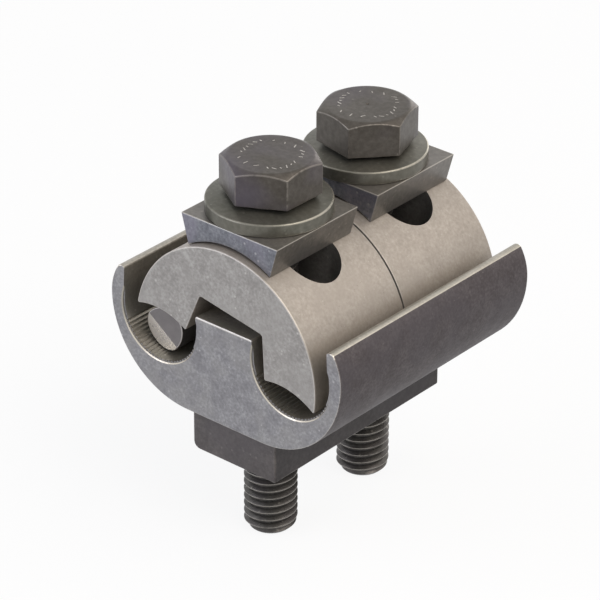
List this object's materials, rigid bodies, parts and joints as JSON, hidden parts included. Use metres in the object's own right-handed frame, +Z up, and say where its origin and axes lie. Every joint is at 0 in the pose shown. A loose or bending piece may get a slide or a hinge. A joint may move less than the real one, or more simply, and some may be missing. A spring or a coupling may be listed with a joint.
{
  "type": "parallel groove connector",
  "caption": "Parallel-groove connector that clamps overhead conductors side by side in a serrated aluminium channel, under rocking keepers drawn down by bolts.",
  "frame": {"origin": "midway between the two groove axes and midway between the two bolts, at the height of the grooves", "axes": "+X across the grooves, +Y along the conductors towards the rear, +Z up along the bolts to their heads"},
  "size_m": [0.0434, 0.0428, 0.0612],
  "materials": {
    "channel_aluminium": "tumbled",
    "keeper_aluminium": "tumbled",
    "saddle_aluminium": "satin",
    "washer_steel": "galvanised",
    "bolt_steel": "galvanised",
    "bar_steel": "galvanised",
    "rod_aluminium": "sheared ends"
  },
  "bodies": {
    "channel": {"channel": "channel_aluminium", "nut_bar": "bar_steel", "filler_rod": "rod_aluminium"},
    "front_saddle": {"front_saddle": "saddle_aluminium", "front_spring_washer": "washer_steel"},
    "front_bolt": {"front_bolt": "bolt_steel"},
    "front_keeper": {"front_keeper": "keeper_aluminium"},
    "rear_saddle": {"rear_saddle": "saddle_aluminium", "rear_spring_washer": "washer_steel"},
    "rear_bolt": {"rear_bolt": "bolt_steel"},
    "rear_keeper": {"rear_keeper": "keeper_aluminium"}
  },
  "joints": [
    {"name": "front_bolt_spin", "type": "hinge", "parent": "front_saddle", "child": "front_bolt", "pos_m": [0, -0.0107, -0.01725], "axis": [0, 0, 1], "range_deg": [0, 3600]},
    {"name": "front_clamp_lift", "type": "slide", "parent": "channel", "child": "front_saddle", "axis": [0, 0, 1], "range_m": [0, 0.0125]},
    {"name": "front_keeper_rock", "type": "hinge", "parent": "front_saddle", "child": "front_keeper", "pos_m": [0, -0.0107, -0.00223], "axis": [0, -1, 0], "range_deg": [0, 4.4]},
    {"name": "rear_bolt_spin", "type": "hinge", "parent": "rear_saddle", "child": "rear_bolt", "pos_m": [0, 0.0107, -0.01725], "axis": [0, 0, 1], "range_deg": [0, 3600]},
    {"name": "rear_clamp_lift", "type": "slide", "parent": "channel", "child": "rear_saddle", "axis": [0, 0, 1], "range_m": [0, 0.0125]},
    {"name": "rear_keeper_rock", "type": "hinge", "parent": "rear_saddle", "child": "rear_keeper", "pos_m": [0, 0.0107, -0.00223], "axis": [0, -1, 0], "range_deg": [-2.4, 2]}
  ],
  "couplings": [
    {"joint": "front_bolt_spin", "follows": "front_clamp_lift", "rad_per_m": 5026.5},
    {"joint": "rear_bolt_spin", "follows": "rear_clamp_lift", "rad_per_m": 5026.5}
  ]
}
